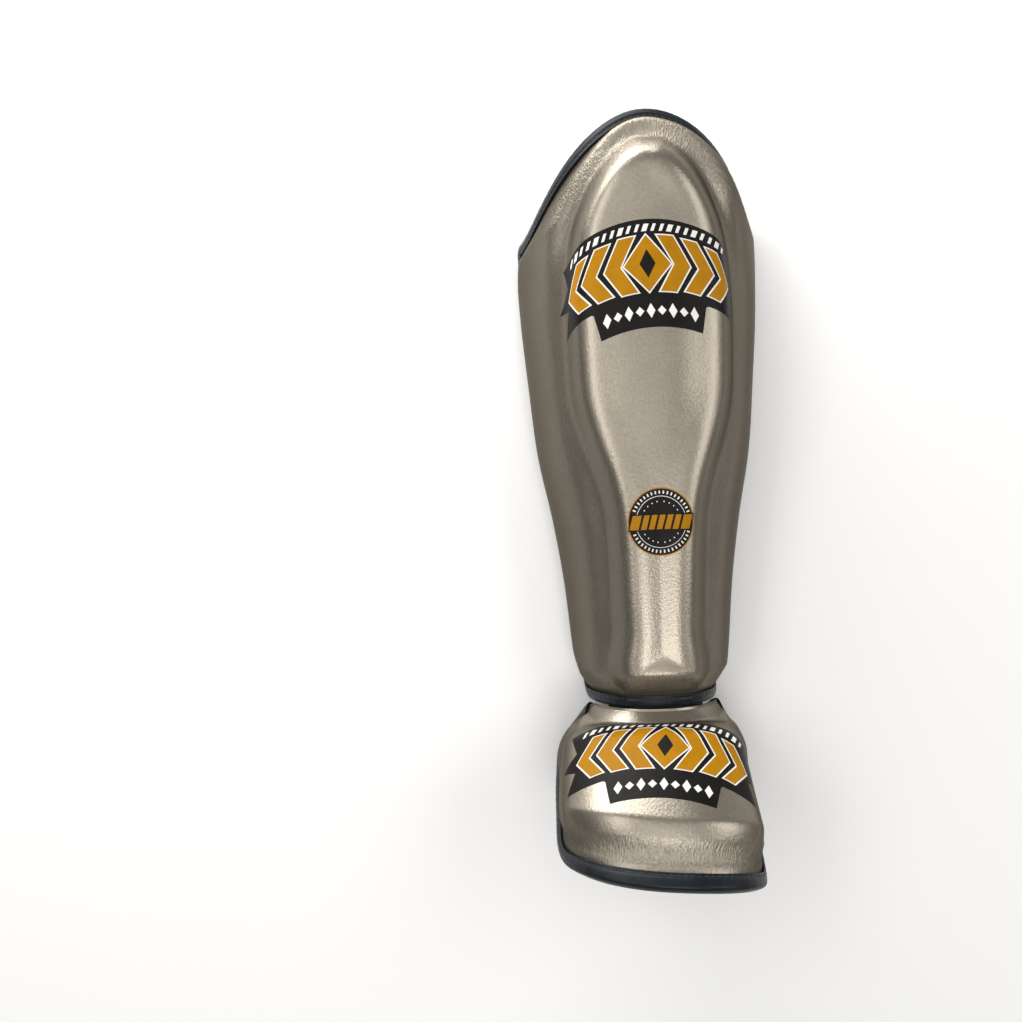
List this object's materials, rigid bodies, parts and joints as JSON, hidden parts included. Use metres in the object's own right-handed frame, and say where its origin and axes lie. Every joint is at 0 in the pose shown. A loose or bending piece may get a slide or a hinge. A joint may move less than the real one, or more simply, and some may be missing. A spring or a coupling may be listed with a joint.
{
  "type": "shin guard",
  "caption": "Moulded shin guard with a raised shin plate, an arched knee end, taped edges, a hinged domed instep pad, and straps for the calf and the foot.",
  "frame": {"origin": "on the floor, in the underside of the upper calf strap, midway between the wings", "axes": "+X across the shin to the right as worn lying down seen from the ankle, +Y along the shin from the ankle to the knee, +Z out of the shin's front"},
  "size_m": [0.1663, 0.4918, 0.1378],
  "materials": {
    "silver_leather": "metallic silver coated leather over foam padding, satin, fine grain",
    "black_tape": "black coated edge tape, semi-matte, stitched",
    "black_lining": "black woven lining, matte",
    "black_elastic": "black elastic webbing and hook and loop strap, matte"
  },
  "bodies": {
    "root": {"shin_pad": "silver_leather", "shin_lining": "black_lining", "shin_edge_tape": "black_tape", "instep_pad": "silver_leather", "instep_lining": "black_lining", "instep_edge_tape": "black_tape", "ankle_hinge": "black_tape", "upper_strap_band": "black_elastic", "upper_strap_tab": "black_elastic", "lower_strap_band": "black_elastic", "lower_strap_tab": "black_elastic", "foot_strap": "black_elastic"}
  },
  "joints": []
}
